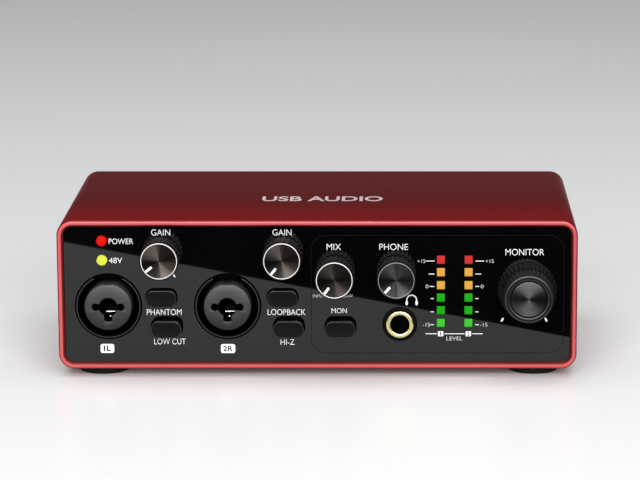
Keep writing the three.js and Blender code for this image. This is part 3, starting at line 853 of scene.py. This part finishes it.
def makeSmallKnobs():
    body, disc = modelSmallKnob()
    bodies = repeatPiece(body, "knobBody_", "cap_", smallKnobs)
    discs = repeatPiece(disc, "capDisc_", "cap_", smallKnobs)
    cap, front = smallKnob["cap"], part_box("cap_gain_1")[0].y
    for name, body, disc in zip(smallKnobs, bodies, discs):
        finishPiece(body, "knob_" + name, body="rotary_" + name, slot="knob_plastic", angle=40)
        place = centreOf("cap_" + name)
        makeSpunMetal("spun_" + name, place, capPaintedSheen[name], capPaintedShade, Uneven=capUneven[name])
        # the cap's edge ring is a cut ring painted near-white as a highlight; the phones' ring is greyer
        dress(disc, "spun_" + name, "greyEdge" if name == "phones" else "brightEdge")
        paintFaces(disc, 1, lambda centre, normal: reach(centre, place) > cap - smallKnob["ring"])
        finishPiece(disc, "cap_" + name, body="rotary_" + name, slot="spun_metal")
        bar = makePointer("pointer_" + name, name, cap, smallKnob["pointer"], front + 0.1 * mm,
                          front + 0.21 * mm, 0.3, 4)
        finishPiece(bar, body="rotary_" + name, slot="spun_metal", look="printWhite")


def makeBigKnob():
    capLow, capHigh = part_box("cap_monitor")
    place = centreOf("cap_monitor")
    flange, skirt, face, ring, cap = (bigKnob[key] for key in ("flange", "skirt", "face", "ring", "cap"))
    front = capLow.y
    back, capBack = (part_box("knob_monitor")[1].y - front) / mm, (capHigh.y - front) / mm
    grooves = {"from": 7, "count": bigKnob["flutes"], "share": bigKnob["share"], "ratio": bigKnob["depth"]}
    body = turned("knobBody_monitor", place, [
        (cap + 0.45, capBack + 0.3), (cap + 0.45, 0.4), (ring - 1.3, 0.25), (ring - 0.45, 0.2), (ring, 0.5),
        (ring + 0.05, 1.0), (ring - 0.15, 1.15), (face, 1.5), (face + 0.1, 1.9), (skirt, back - 3.2),
        (skirt, back - 2.6), (flange - 0.9, back - 2.2), (flange - 0.1, back - 1.6), (flange, back - 1.2),
        (flange, back)], bigKnob["flutes"] * 6, front, grooves)
    dress(body, "skirtBlack", "knobRingHighlight")
    # the two thin chamfers of the ring are painted lighter: painted highlights
    for near, far in ((cap + 0.4, ring - 1.25), (ring - 0.4, ring)):
        paintFaces(body, 1, lambda centre, normal: centre.y < front + 0.6 * mm
                   and near < reach(centre, place) < far)
    finishPiece(body, "knob_monitor", body="rotary_monitor", slot="knob_plastic", angle=40)
    disc = turned("capDisc_monitor", place, [
        (cap - 0.5, 0), (cap - 0.15, 0.06), (cap, 0.3), (cap, capBack)], 96, front)
    cutAway(disc, makePointer("slot", "monitor", cap, bigKnob["slot"], front - mm, front + 0.25 * mm, 0.2, 3))
    makeSpunMetal("spun_monitor", place, bigKnob["paintedSheen"], bigKnob["shade"], Turns=1.0, Uneven=0.1)
    finishPiece(disc, "cap_monitor", body="rotary_monitor", slot="spun_metal", look="spun_monitor")
    line = makePointer("pointer_monitor", "monitor", cap, bigKnob["line"], front + 0.1 * mm,
                       front + 0.24 * mm, 0.1, 3)
    finishPiece(line, body="rotary_monitor", slot="spun_metal", look="printGrey")


makeSmallKnobs()
makeBigKnob()
print("knobs made")


keyShape = {"width": 10.9, "tall": 6.2, "corner": 2.7, "edge": 0.55, "rim": 0.8, "dish": 0.12, "stem": 3,
            "stemLong": 4, "flange": 1.2}


def modelKey():
    low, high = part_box("button_phantom")
    middle = (low + high) / 2
    flangeBack = high.y - keyShape["stemLong"] * mm
    flangeFront = flangeBack - keyShape["flange"] * mm
    edge = keyShape["edge"] * mm
    key = blockAt("key", middle, keyShape["width"], keyShape["tall"], low.y, flangeFront + 0.2 * mm,
                  keyShape["corner"], 8)
    startEdit(key)
    pickFaces(key, lambda centre, normal: normal.y < -0.9)
    bpy.ops.mesh.bevel(offset=edge, segments=5, affect='EDGES')
    pickFaces(key, lambda centre, normal: normal.y < -0.999 and centre.y < low.y + 0.01 * mm)
    bpy.ops.mesh.inset(thickness=keyShape["rim"] * mm)
    bpy.ops.transform.translate(value=(0, keyShape["dish"] * mm, 0))
    endEdit()
    flange = roundedBlock("flange", (low.x, flangeFront, low.z), (high.x, flangeBack, high.z), mm, 4)
    stem = blockAt("stem", middle, keyShape["stem"], keyShape["stem"], flangeBack - 0.1 * mm, high.y, 0.3, 2)
    whole = joinPieces("keyMaster", key, flange, stem)
    dress(whole, "keyBlack", "deepBlackAndShade", "keyEdge")
    # the key's sides and back are painted deep black as painted shade; its front bevel is glossier and a
    # little lighter, a painted highlight
    paintFaces(whole, 1, lambda centre, normal: centre.y > low.y + edge + mm)
    paintFaces(whole, 2, lambda centre, normal: centre.y < low.y + edge and -0.97 < normal.y < -0.1)
    return whole


for keyName, keyPiece in zip(keyNames, repeatPiece(modelKey(), "key_", "button_", keyNames)):
    finishPiece(keyPiece, "button_" + keyName, body="key_" + keyName, slot="button_plastic", angle=50)
print("push buttons made")


def makeStatusLights():
    low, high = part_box("led_power")
    radius = 1.8
    master = turned("lightMaster", centreOf("led_power"), [
        (radius * 0.3, 0), (radius * 0.62, 0.1), (radius * 0.86, 0.28), (radius * 0.97, 0.5), (radius, 0.8),
        (radius, (high.y - low.y) / mm)], 48, low.y)
    lights = repeatPiece(master, "statusLight_", "led_", ("power", "phantom"))
    finishPiece(lights[0], "led_power", slot="light_red", angle=60, look="redLens")
    finishPiece(lights[1], "led_phantom", slot="light_yellow", angle=60, look="yellowLens")


def makeMeters():
    low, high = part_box("meter_bar_left")
    spine = roundedBlock("spineMaster", (low.x, panelHigh.y + 0.3 * mm, low.z), high, 0.5 * mm, 3)
    softenEdges(spine, 0.2)
    for side, piece in zip(bothSides, repeatPiece(spine, "meterSpine_", "meter_bar_", bothSides)):
        finishPiece(piece, "meter_bar_" + side, slot="light_green", look="deepBlackAndShade")
    places, side = meterPlaces(), meterShape["side"]
    first = blockAt("meterLight01", places[0], side, side, panelLow.y + 0.15 * mm, panelHigh.y + 0.2 * mm,
                    0.18, 3)
    softenEdges(first, 0.1)
    lenses = [first] + [copyPiece(first, "meterLight%02d" % (index + 2), place - places[0])
                        for index, place in enumerate(places[1:])]
    for lens, look in zip(lenses, meterShape["looks"] * 2):
        finishPiece(lens, slot="light_green", look=look)


makeStatusLights()
makeMeters()
print("lights made")


printThick = 0.02 * mm
printAt = panelFace - printThick * 0.75
# words are (text, x, up, width, tall), lines (left, right, up), bars (x, up, width, tall, corner, slant)
bigWords = [("GAIN", -55.2, 49.3, 6.7, 2.2), ("GAIN", -12.4, 49.3, 6.7, 2.2),
            ("POWER", -69.3, 46.1, 8.6, 2.0), ("48V", -71.3, 39.2, 4.6, 2.0),
            ("PHANTOM", -54.4, 20.5, 12.3, 2.1),
            ("LOW CUT", -52.5, 9.8, 11.2, 2.1), ("LOOPBACK", -11.0, 20.5, 13.4, 2.1),
            ("HI-Z", -10.75, 9.6, 4.9, 2.0), ("MIX", 5.85, 44.1, 5.0, 2.2), ("PHONE", 27.0, 44.1, 10.1, 2.2),
            ("MON", 7.65, 21.0, 5.4, 1.8), ("MONITOR", 73.3, 42.2, 13.6, 2.3)]
smallWords = [("INPUT", 0.6, 26.35, 4.4, 1.1), ("DAW", 10.8, 26.35, 3.2, 1.1),
              ("LEVEL", 48.55, 10.9, 5.6, 1.35), ("+15", 36.75, 38.95, 2.8, 1.3),
              ("+15", 60.9, 38.95, 2.8, 1.3), ("0", 38.8, 29.8, 0.95, 1.3),
              ("0", 58.3, 29.8, 0.95, 1.3), ("-15", 38.55, 15.9, 2.5, 1.3), ("-15", 58.95, 15.9, 2.5, 1.3)]
scaleLines = [(38.4, 41.4, 39.0), (39.3, 41.4, 34.3), (39.7, 41.3, 29.8), (40.1, 41.2, 25.4),
              (40.1, 41.2, 20.6), (40.1, 41.3, 15.9), (55.9, 58.9, 39.0), (55.9, 57.9, 34.3),
              (55.9, 57.2, 29.8), (55.9, 57.0, 25.4), (55.9, 57.0, 20.6), (55.9, 57.2, 15.9),
              (38.3, 42.3, 12.6), (45.0, 52.1, 12.6), (54.9, 58.6, 12.6)]
ticks = [(65.5, 17.7, 0.65, 1.5, 0.25, 28), (81.0, 17.75, 0.65, 1.5, 0.25, -28),
         (-50.8, 33.8, 0.6, 1.5, 0.2, -35)]
badges = [(-74.8, 7.25, 4.85, 3.3, 0.75), (-31.9, 7.2, 5.1, 3.3, 0.75), (43.65, 12.6, 1.9, 1.8, 0.2),
          (53.5, 12.6, 1.9, 1.8, 0.2)]
badgeWords = [("1L", -74.8, 7.25, 2.6, 2.0, 0.03, 0.88), ("2R", -31.9, 7.2, 3.4, 2.0, 0.02, 0.98),
              ("1", 43.65, 12.6, 0.42, 1.3, 0.0, 1.0), ("2", 53.5, 12.6, 0.95, 1.35, 0.01, 1.0)]
scaleTall = 0.25
frameShape = {"left": -2.3, "right": 87.3, "low": 5.5, "high": 48.3, "corner": 5.3, "wide": 0.18}
phonesSign = {"x": 33.35, "up": 24.9, "radius": 1.75, "thick": 0.19, "pad": (0.85, 1.6, 0.4), "padDrop": 1.1}


def printWord(text, width, tall, weight, spacing, turn, place):
    # one printed word of a width and height in millimetres, made flat, then turned and set in place
    deselectAll()
    bpy.ops.object.text_add(location=(0, 0, 0))
    word = bpy.context.object
    word.data.body = text
    word.data.align_x = 'CENTER'
    word.data.extrude = 0.01
    word.data.offset = weight
    word.data.space_character = spacing
    bpy.ops.object.convert(target='MESH')
    word = bpy.context.object
    low = Vector([min(vertex.co[axis] for vertex in word.data.vertices) for axis in range(3)])
    high = Vector([max(vertex.co[axis] for vertex in word.data.vertices) for axis in range(3)])
    size = high - low
    startEdit(word, 'FACE', 'SELECT')
    bpy.ops.transform.translate(value=tuple(-(low + high) / 2))
    bpy.ops.transform.resize(value=(width * mm / size.x, tall * mm / size.y, printThick / size.z),
                             center_override=(0, 0, 0))
    endEdit()
    word.rotation_euler = turn
    word.location = place
    applyPlace(word)
    return word


def panelWord(text, x, up, width, tall, weight=0.0, spacing=1.0, proud=0.0):
    # x and up are the word's centre, up above the case's underside, in millimetres
    place = (x * mm, printAt - proud, sleeveLow.z + up * mm)
    return printWord(text, width, tall, weight, spacing, (math.pi / 2, 0, 0), place)


def printBar(x, up, width, tall, corner=0.0, slant=0.0):
    bar = blockAt("bar", Vector((0, 0, 0)), width, tall, -printThick / 2, printThick / 2, corner)
    return turnTo(bar, (x * mm, printAt, sleeveLow.z + up * mm), slant)


def printPanel():
    marks = [panelWord(*word, -0.01) for word in bigWords]
    marks += [panelWord(*word, -0.02) for word in smallWords]
    marks += [printBar((left + right) / 2, up, right - left, scaleTall) for left, right, up in scaleLines]
    marks += [printBar(*bar) for bar in ticks + badges]
    marks += printHeadphones()
    finishPiece(joinPieces("panelPrint", *marks), slot="gloss_panel", look="printWhite")
    dark = [panelWord(*word, proud=printThick) for word in badgeWords]
    finishPiece(joinPieces("panelPrintDark", *dark), slot="gloss_panel", look="deepBlackAndShade")


def printHeadphones():
    # a small headphone sign: an arched band and two ear pads
    x, up, radius, thick = (phonesSign[key] for key in ("x", "up", "radius", "thick"))
    deselectAll()
    bpy.ops.mesh.primitive_torus_add(major_radius=radius * mm, minor_radius=thick * mm, major_segments=48,
                                     minor_segments=8, location=(0, 0, 0), rotation=(math.pi / 2, 0, 0))
    band = bpy.context.object
    applyPlace(band)
    startEdit(band, 'FACE', 'SELECT')
    bpy.ops.mesh.bisect(plane_co=(0, 0, -0.3 * mm), plane_no=(0, 0, 1), clear_inner=True, use_fill=True)
    bpy.ops.mesh.select_all(action='SELECT')
    bpy.ops.transform.resize(value=(1, printThick / (2 * thick * mm), 1.05), center_override=(0, 0, 0))
    endEdit()
    band.location = (x * mm, printAt, sleeveLow.z + (up - 0.1) * mm)
    applyPlace(band)
    width, tall, corner = phonesSign["pad"]
    pads = [printBar(x + side * radius, up - phonesSign["padDrop"], width, tall, corner) for side in (-1, 1)]
    return [band] + pads


def printZoneFrame():
    # the hairline frame round the right-hand controls
    left, right, low, high, corner, wide = (
        frameShape[key] for key in ("left", "right", "low", "high", "corner", "wide"))
    middle = Vector(((left + right) / 2 * mm, 0, sleeveLow.z + (low + high) / 2 * mm))
    width, tall = right - left, high - low
    near, far = panelFace - printThick, panelFace - printThick * 0.1
    line = blockAt("panelFrameLine", middle, width, tall, near, far, corner, 10)
    cutAway(line, blockAt("hole", middle, width - 2 * wide, tall - 2 * wide, near - mm, far + mm,
                          corner - wide, 10))
    finishPiece(line, slot="gloss_panel", look="printFaint")


def printTop():
    # a plain descriptive word stands where the top carries its lettering
    place = (0.9 * mm, sleeveLow.y + 41.7 * mm, sleeveHigh.z + printThick * 0.3)
    word = printWord("USB AUDIO", 44, 9.2, 0.02, 1.0, (0, 0, 0), place)
    word.name = "topPrint"
    finishPiece(word, slot="anodised_case", look="printTop")


printPanel()
printZoneFrame()
printTop()
print("print made")


backShape = {"neck": 4.6, "bore": 3.35, "nut": 7.0, "nutBore": 4.75, "outputHole": 5.0, "screwHole": 1.9,
             "usbTall": 3.2, "usbWall": 0.35, "usbSlack": 0.4, "usbCorner": 1.5,
             "usbMouthCorner": 1.2, "usbHoleCorner": 1.9}
screwCorners = ("top_left", "top_right", "bottom_left", "bottom_right")


def makeRearPanel():
    panel = roundedBlock("rearPanel", rearLow, rearHigh, panelShape["corner"] * mm, 8)
    near, far = rearLow.y - mm, rearHigh.y + mm
    cutters = [drill(centreOf("output_nut_" + side), backShape["outputHole"], near, far)
               for side in bothSides]
    cutters += [drill(centreOf("rear_screw_" + corner), backShape["screwHole"], near, far, 40)
                for corner in screwCorners]
    low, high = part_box("usb_socket")
    slack, tall = backShape["usbSlack"] * mm, backShape["usbTall"] * mm
    cutters.append(roundedBlock("usbHole", (low.x - slack, near, high.z - tall - slack),
                                (high.x + slack, far, high.z + slack), backShape["usbHoleCorner"] * mm, 8))
    cutAway(panel, *cutters)
    softenEdges(panel, 0.1, 2, 60)
    finishPiece(panel, "rear_panel", slot="painted_panel", look="paintedBlack")


def makeScrews():
    place, back = centreOf("rear_screw_top_left"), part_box("rear_screw_top_left")[0].y
    head = rearFace + 0.1 * mm
    shank = (back - head) / mm
    master = turned("screwMaster", place, [
        (1.0, shank), (1.5, shank + 0.6), (1.5, 0), (2.9, 0), (2.9, 0.45), (2.6, 0.85), (2.0, 1.12),
        (1.3, 1.2)], 48, head)
    cross = [blockAt("cross", place, width, tall, head + 0.5 * mm, head + 2 * mm, 0.1, 2)
             for width, tall in ((3.2, 0.8), (0.8, 3.2))]
    cutAway(master, *cross)
    screws = repeatPiece(master, "rearScrew_", "rear_screw_", screwCorners)
    for corner, screw in zip(screwCorners, screws):
        finishPiece(screw, "rear_screw_" + corner, slot="bright_metal", look="plated")


def modelOutput():
    low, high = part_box("output_jack_left")
    place = centreOf("output_nut_left")
    bore, neckWide, long = backShape["bore"], backShape["neck"], (high.y - low.y) / mm
    neck = turned("neck", place, [
        (bore, 2), (bore, long - 0.3), (bore + 0.3, long), (neckWide - 0.25, long), (neckWide, long - 0.25),
        (neckWide, (rearLow.y - low.y) / mm - 0.2)], 64, low.y)
    body = roundedBlock("body", low, (high.x, rearLow.y - 0.3 * mm, high.z), 0.8 * mm, 4)
    cutAway(body, drill(place, bore + 0.8, low.y + 1.6 * mm, rearHigh.y))
    return joinPieces("outputMaster", body, neck)


def modelNut():
    # a hexagon with a chamfered face and a round bore
    low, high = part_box("output_nut_left")
    place = centreOf("output_nut_left")
    hexagon = turned("nutMaster", place, [(backShape["nut"], 0), (backShape["nut"], (high.y - low.y) / mm)],
                     6, low.y)
    cutAway(hexagon, drill(place, backShape["nutBore"], low.y - mm, high.y + mm))
    softenEdges(hexagon, 0.3, 2, 45)
    return hexagon


def makeOutputs():
    jacks = repeatPiece(modelOutput(), "outputJack_", "output_nut_", bothSides)
    nuts = repeatPiece(modelNut(), "outputNut_", "output_nut_", bothSides)
    for side, jack, nut in zip(bothSides, jacks, nuts):
        finishPiece(jack, "output_jack_" + side, slot="satin_plastic", look="satinBlack")
        finishPiece(nut, "output_nut_" + side, slot="bright_metal", look="plated")


def makeUsb():
    low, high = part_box("usb_socket")
    tall, wall, corner = (backShape[key] for key in ("usbTall", "usbWall", "usbCorner"))
    bottom = high.z - tall * mm
    width = (high.x - low.x) / mm
    middle = Vector(((low.x + high.x) / 2, 0, (high.z + bottom) / 2))
    shell = blockAt("shell", middle, width, tall, low.y, high.y, corner, 8)
    cutAway(shell, blockAt("mouth", middle, width - 2 * wall, tall - 2 * wall, low.y + mm, high.y + mm,
                           backShape["usbMouthCorner"], 8))
    tongue = blockAt("tongue", middle, width - 2.4, 0.7, low.y + 0.5 * mm, high.y - 0.8 * mm, 0.3, 3)
    legs = roundedBlock("legs", (low.x + 0.5 * mm, low.y + 0.5 * mm, low.z),
                        (high.x - 0.5 * mm, rearLow.y - mm, bottom + 0.2 * mm))
    socket = joinPieces("usbSocket", shell, tongue, legs)
    dress(socket, "plated", "satinBlack")
    paintFaces(socket, 1, lambda centre, normal: abs(centre.z - middle.z) < 0.4 * mm
               and low.x + mm < centre.x < high.x - mm and centre.y > low.y + mm)
    finishPiece(socket, "usb_socket", slot="bright_metal")


def printRear():
    marks = []
    for text, node, up, width in (("OUTPUT L", "output_nut_left", 35.5, 11),
                                  ("OUTPUT R", "output_nut_right", 35.5, 11), ("USB", "usb_socket", 18.0, 5)):
        place = (centreOf(node).x, rearFace + printThick * 0.6, sleeveLow.z + up * mm)
        marks.append(printWord(text, width, 1.8, 0.006, 1.0, (math.pi / 2, 0, math.pi), place))
    finishPiece(joinPieces("rearPrint", *marks), slot="painted_panel", look="printWhite")


makeRearPanel()
makeScrews()
makeOutputs()
makeUsb()
printRear()
print("back made")


footWalk = [(5.2, 0.35), (6.0, 0.12), (6.4, 0), (8.2, 0), (8.65, 0.1), (8.85, 0.4), (8.95, 2.65), (9.0, 2.9)]


def makeFeet():
    names = [end + "_" + side for end in ("front", "rear") for side in bothSides]
    master = turned("footMaster", centreOf("foot_" + names[0]), footWalk, 72, upright=True)
    for name, foot in zip(names, repeatPiece(master, "rubber_foot_", "foot_", names)):
        finishPiece(foot, "foot_" + name, slot="rubber_foot", angle=50, look="rubber")


makeFeet()
print("feet made")


innerLooks = {"main_pcb": "boardGreen", "front_pcb": "boardGreen"}
innerLooks.update({"pot_" + name: "plated" for name in smallKnobs + ("monitor",)})
innerLooks.update({"shaft_" + name: "plated" for name in smallKnobs + ("monitor",)})
innerLooks.update({"switch_" + name: "plated" for name in keyNames})
for innerNode, innerLook in innerLooks.items():
    dress(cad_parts[innerNode], innerLook)
print("inner pieces dressed")


camera = {"right": 29.9 * mm, "ahead": 1047.9 * mm, "height": 262.9 * mm, "pitch": 11.496, "lens": 170.6,
          "shift": -0.128}


def makeCamera():
    data = bpy.data.cameras.new("camera")
    data.lens = camera["lens"]
    data.sensor_width = 36
    data.shift_x = camera["shift"]
    data.clip_start = 0.05
    eye = bpy.data.objects.new("camera", data)
    bpy.context.scene.collection.objects.link(eye)
    eye.location = (camera["right"], sleeveLow.y - camera["ahead"], camera["height"])
    eye.rotation_euler = (math.radians(90 - camera["pitch"]), 0, 0)
    bpy.context.scene.camera = eye


# dark is the painted reflection that glossy rays see beyond the edge
floorShape = {"centre": Vector((0, 1.0, 0)), "size": 8, "pale": (0.8, 0.8, 0.8),
              "dark": (0.002, 0.002, 0.002), "roughness": 0.28, "gloss": 0.5,
              "edgeLeft": (-117.5 * mm, -240 * mm),    # across, and in front of the panel's face
              "edgeRight": (93.4 * mm, -60 * mm)}


def makeFloor():
    # pale all over to the eye; to glossy rays it is painted dark beyond a slanted edge in front of the panel:
    # a painted reflection
    deselectAll()
    bpy.ops.mesh.primitive_plane_add(size=floorShape["size"], location=floorShape["centre"])
    floor = bpy.context.object
    floor.name = "floor"
    tree, shader = newMaterial("paleFloor", floorShape["pale"], floorShape["roughness"])
    parts = splitPlace(tree, objectPlace(tree))
    (left, leftAhead), (right, rightAhead) = floorShape["edgeLeft"], floorShape["edgeRight"]
    slope = (rightAhead - leftAhead) / (right - left)
    crossing = panelFace + leftAhead - floorShape["centre"].y - left * slope
    edgeHere = mathNode(tree, 'MULTIPLY_ADD', parts["X"], slope, crossing)
    beyond = mathNode(tree, 'LESS_THAN', parts["Y"], edgeHere)
    rays = tree.nodes.new('ShaderNodeLightPath')
    darkReflectionMask = mathNode(tree, 'MULTIPLY', beyond, rays.outputs["Is Glossy Ray"])
    blendColours(tree, shader, darkReflectionMask, floorShape["pale"], floorShape["dark"])
    gloss = mathNode(tree, 'MULTIPLY', rays.outputs["Is Camera Ray"], floorShape["gloss"])
    tree.links.new(gloss, shader.inputs["Specular IOR Level"])
    dress(floor, "paleFloor")


def areaLight(name, place, target, size, power):
    data = bpy.data.lights.new(name, 'AREA')
    data.shape = 'RECTANGLE'
    data.size, data.size_y = size
    data.energy = power
    lamp = bpy.data.objects.new(name, data)
    bpy.context.scene.collection.objects.link(lamp)
    lamp.location = place
    lamp.rotation_euler = (Vector(target) - Vector(place)).to_track_quat('-Z', 'Y').to_euler()


def makeStudio():
    areaLight("frontSoftbox", (0.1, -1.9, 0.75), (0, 0, 0.03), (2.2, 1.2), 75)
    areaLight("ceilingSoftbox", (0, -0.2, 1.8), (0, -0.2, 0), (2.0, 1.6), 27)
    world = bpy.data.worlds.new("studio")
    bpy.context.scene.world = world
    world.use_nodes = True
    sky = world.node_tree.nodes["Background"]
    sky.inputs["Color"].default_value = (0.7, 0.72, 0.75, 1)
    sky.inputs["Strength"].default_value = 0.25
    bpy.context.scene.view_settings.view_transform = 'Standard'    # true, saturated reds and greens


makeCamera()
makeFloor()
makeStudio()
print("camera, floor and lights made")
